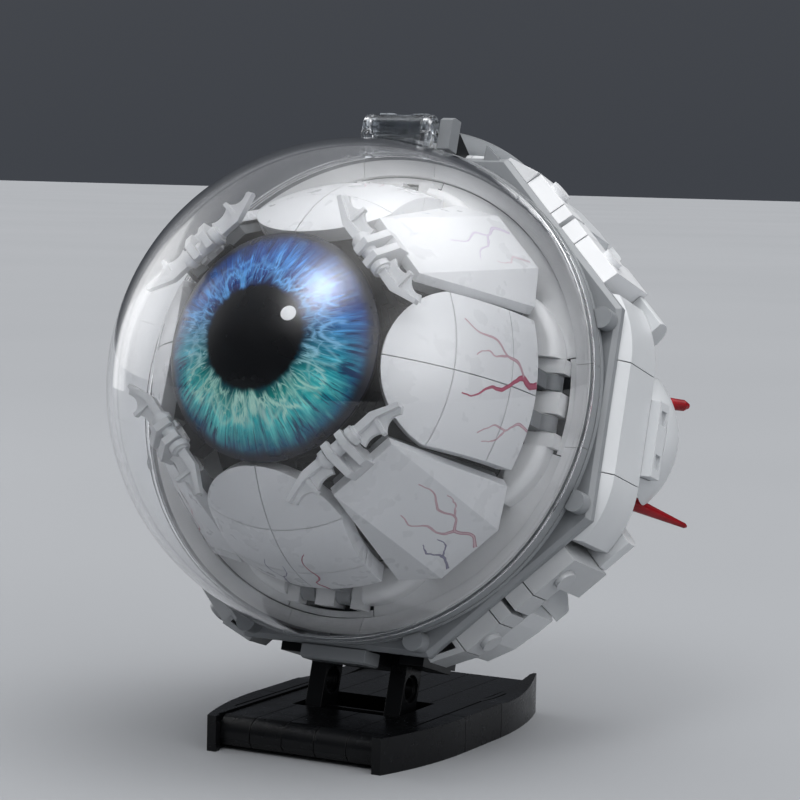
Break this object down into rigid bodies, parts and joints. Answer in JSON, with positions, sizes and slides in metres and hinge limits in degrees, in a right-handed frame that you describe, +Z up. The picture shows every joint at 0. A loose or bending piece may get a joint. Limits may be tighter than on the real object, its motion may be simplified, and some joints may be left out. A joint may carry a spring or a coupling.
{
  "type": "eye anatomy desk model",
  "caption": "Eye model built of interlocking blocks: a clear hinged dome over a printed iris and hinged lid-like petals, in an octagonal shell that tilts on a black stand.",
  "frame": {"origin": "centre of the stand's footprint, on the surface it stands on", "axes": "+Z up, the eye looks towards -Y and slightly up, +X to the viewer's right when the eye is seen from the front"},
  "size_m": [0.122, 0.1213, 0.1395],
  "materials": {
    "stand_black": "glossy black moulded plastic",
    "core_black": "black moulded plastic",
    "clear_dome": "clear polished plastic",
    "clear_hinge": "clear moulded plastic",
    "iris_print": "printed blue and teal iris with black pupil under gloss",
    "vessel_red": "dark red translucent-looking plastic",
    "ring_grey": "light grey moulded plastic",
    "bracket_grey": "light grey moulded plastic",
    "shell_white": "white moulded plastic"
  },
  "bodies": {
    "stand": {"base_plate": "stand_black", "base_tiles": "stand_black", "side_wall_left": "stand_black", "side_wall_right": "stand_black", "tilt_axle": "stand_black"},
    "eyeball": {"backing_rings": "ring_grey", "bottom_frame": "core_black", "clasp_clips": "shell_white", "clasp_lower_left": "shell_white", "clasp_lower_right": "shell_white", "clasp_upper_left": "shell_white", "clasp_upper_right": "shell_white", "core_drum": "core_black", "corner_blocks_lower_left": "shell_white", "corner_blocks_lower_right": "shell_white", "corner_blocks_upper_left": "shell_white", "corner_blocks_upper_right": "shell_white", "corner_slabs": "shell_white", "corner_studs": "ring_grey", "diagonal_carriers": "bracket_grey", "dome_hinge_pin": "clear_hinge", "frame_pins": "core_black", "hinge_bracket": "core_black", "hinge_knuckle": "clear_hinge", "hinge_plate": "shell_white", "hinge_side_block": "ring_grey", "iris_dish": "iris_print", "iris_mount": "core_black", "octagon_flange": "ring_grey", "petal_bars": "shell_white", "petal_lower_left": "shell_white", "petal_lower_right": "shell_white", "petal_ring": "shell_white", "petal_upper_left": "shell_white", "petal_upper_right": "shell_white", "rear_body": "shell_white", "rear_cap": "shell_white", "rim_ring": "ring_grey", "side_dish_left": "shell_white", "side_dish_right": "shell_white", "side_latch_left": "shell_white", "side_latch_right": "shell_white", "side_panel_left": "shell_white", "side_panel_right": "shell_white", "side_panel_top": "shell_white", "support_block": "ring_grey", "top_dish": "shell_white", "upright_left": "stand_black", "upright_right": "stand_black", "vessel_spikes": "vessel_red"},
    "dome": {"dome_shell": "clear_dome"},
    "petal_right_flap": {"petal_right": "shell_white", "petal_right_carrier": "bracket_grey"},
    "petal_top_flap": {"petal_top": "shell_white", "petal_top_carrier": "bracket_grey"},
    "petal_left_flap": {"petal_left": "shell_white", "petal_left_carrier": "bracket_grey"},
    "petal_bottom_flap": {"petal_bottom": "shell_white", "petal_bottom_carrier": "bracket_grey"}
  },
  "joints": [
    {"name": "stand_tilt", "type": "hinge", "parent": "stand", "child": "eyeball", "pos_m": [0, -0.0098, 0.0045], "axis": [1, 0, 0], "range_deg": [-8, 8]},
    {"name": "dome_lift", "type": "hinge", "parent": "eyeball", "child": "dome", "pos_m": [0, 0.00435, 0.13638], "axis": [-1, 0, 0], "range_deg": [0, 180]},
    {"name": "petal_right_hinge", "type": "hinge", "parent": "eyeball", "child": "petal_right_flap", "pos_m": [0.0446, -0.0105, 0.07787], "axis": [0, 0.2907, 0.9568], "range_deg": [0, 12]},
    {"name": "petal_top_hinge", "type": "hinge", "parent": "eyeball", "child": "petal_top_flap", "pos_m": [0, 0.00246, 0.12055], "axis": [-1, 0, 0], "range_deg": [0, 12]},
    {"name": "petal_left_hinge", "type": "hinge", "parent": "eyeball", "child": "petal_left_flap", "pos_m": [-0.0446, -0.0105, 0.07787], "axis": [0, -0.2907, -0.9568], "range_deg": [0, 12]},
    {"name": "petal_bottom_hinge", "type": "hinge", "parent": "eyeball", "child": "petal_bottom_flap", "pos_m": [0, -0.02347, 0.0352], "axis": [1, 0, 0], "range_deg": [0, 12]}
  ]
}
